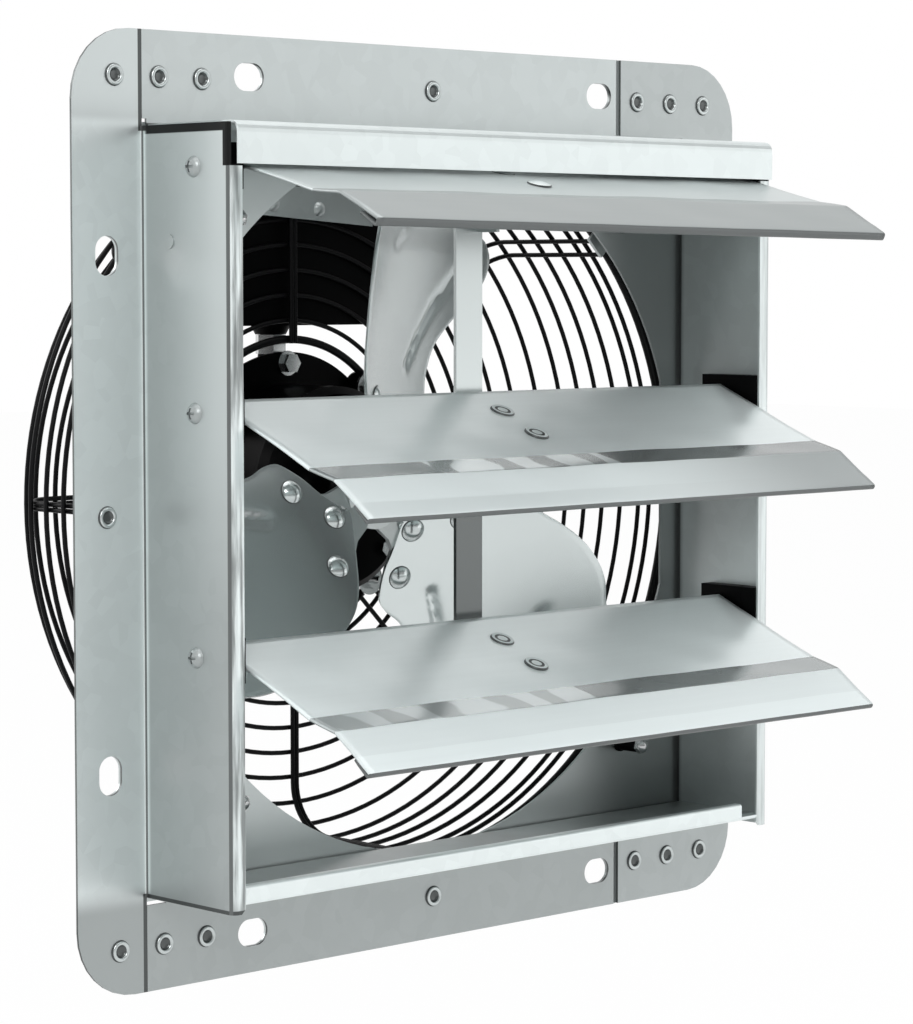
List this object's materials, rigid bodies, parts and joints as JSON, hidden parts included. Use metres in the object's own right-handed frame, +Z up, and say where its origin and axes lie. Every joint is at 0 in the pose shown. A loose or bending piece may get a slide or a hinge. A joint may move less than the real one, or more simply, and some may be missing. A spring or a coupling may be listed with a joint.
{
  "type": "wall exhaust fan with gravity shutter",
  "caption": "Square galvanised wall exhaust fan: linked gravity louvers in front, bladed fan on a shaded motor, black wire guard and junction box behind.",
  "frame": {"origin": "centre of the mounting flange's front face, on the fan's axis", "axes": "+Z up; -Y out of the wall towards the louvers; +Y into the wall towards the motor; +X to the right seen from the louver side"},
  "size_m": [0.34, 0.2419, 0.34],
  "materials": {
    "galvanised_sheet": "satin galvanised",
    "aluminium_sheet": "polished mill finish",
    "zinc_plated_steel": "bright zinc",
    "black_paint": "gloss black paint",
    "black_wire": "gloss black coating",
    "black_plastic": "satin black",
    "electrical_steel": "laminated core",
    "enamelled_copper": "enamelled wire",
    "pale_plastic": "matte"
  },
  "bodies": {
    "frame": {"left_panel": "galvanised_sheet", "right_panel": "galvanised_sheet", "top_panel": "galvanised_sheet", "bottom_panel": "galvanised_sheet", "orifice_plate": "galvanised_sheet", "flange_rivets": "zinc_plated_steel", "pivot_bushings": "black_plastic", "pivot_screws": "zinc_plated_steel", "front_bearing": "zinc_plated_steel", "rear_bearing": "zinc_plated_steel", "motor_shell": "black_paint", "front_end_bell": "black_paint", "rear_end_bell": "black_paint", "stator_core": "electrical_steel", "stator_windings": "enamelled_copper", "through_bolts": "zinc_plated_steel", "mounting_disc": "black_paint", "disc_bolts": "zinc_plated_steel", "clamp_bolts": "zinc_plated_steel", "clamp_washers": "zinc_plated_steel", "clamp_nuts": "zinc_plated_steel", "guard_back_rings": "black_wire", "guard_side_rings": "black_wire", "guard_base_ring": "black_wire", "guard_struts": "black_wire", "guard_lugs": "galvanised_sheet", "guard_screws": "zinc_plated_steel", "guard_sleeves": "black_plastic", "guard_dome_nuts": "zinc_plated_steel", "junction_box": "black_plastic", "box_lid": "black_plastic", "lid_screws": "zinc_plated_steel", "box_strap": "galvanised_sheet", "strap_screws": "zinc_plated_steel", "conduit": "black_plastic", "conduit_nuts": "zinc_plated_steel", "supply_gland": "black_plastic", "capacitor": "pale_plastic"},
    "fan": {"spider": "galvanised_sheet", "hub_boss": "zinc_plated_steel", "set_screw": "zinc_plated_steel", "blade_1": "aluminium_sheet", "blade_2": "aluminium_sheet", "blade_3": "aluminium_sheet", "blade_rivets": "zinc_plated_steel", "motor_shaft": "zinc_plated_steel", "rotor_core": "electrical_steel"},
    "top_louver": {"louver_top": "aluminium_sheet", "link_bracket_top": "galvanised_sheet", "bracket_rivets_top": "zinc_plated_steel", "link_pin_top": "zinc_plated_steel"},
    "middle_louver": {"louver_middle": "aluminium_sheet", "link_bracket_middle": "galvanised_sheet", "bracket_rivets_middle": "zinc_plated_steel", "link_pin_middle": "zinc_plated_steel"},
    "bottom_louver": {"louver_bottom": "aluminium_sheet", "link_bracket_bottom": "galvanised_sheet", "bracket_rivets_bottom": "zinc_plated_steel", "link_pin_bottom": "zinc_plated_steel"},
    "link": {"tie_bar": "aluminium_sheet"}
  },
  "joints": [
    {"name": "fan_spin", "type": "hinge", "parent": "frame", "child": "fan", "pos_m": [0, 0.04, 0], "axis": [0, 1, 0], "continuous": true},
    {"name": "louver_middle", "type": "hinge", "parent": "frame", "child": "middle_louver", "pos_m": [0, -0.0285, 0.0367], "axis": [1, 0, 0], "range_deg": [-2.5, 53]},
    {"name": "louver_top", "type": "hinge", "parent": "frame", "child": "top_louver", "pos_m": [0, -0.0285, 0.1215], "axis": [1, 0, 0], "range_deg": [-3, 63]},
    {"name": "louver_bottom", "type": "hinge", "parent": "frame", "child": "bottom_louver", "pos_m": [0, -0.0285, -0.0481], "axis": [1, 0, 0], "range_deg": [-2.5, 53]},
    {"name": "link_pivot", "type": "hinge", "parent": "middle_louver", "child": "link", "pos_m": [0.0073, -0.024, 0.0227], "axis": [1, 0, 0], "range_deg": [-53, 2.5]}
  ],
  "couplings": [
    {"joint": "louver_top", "follows": "louver_middle", "ratio": 1.1868},
    {"joint": "louver_bottom", "follows": "louver_middle", "ratio": 1},
    {"joint": "link_pivot", "follows": "louver_middle", "ratio": -1}
  ]
}
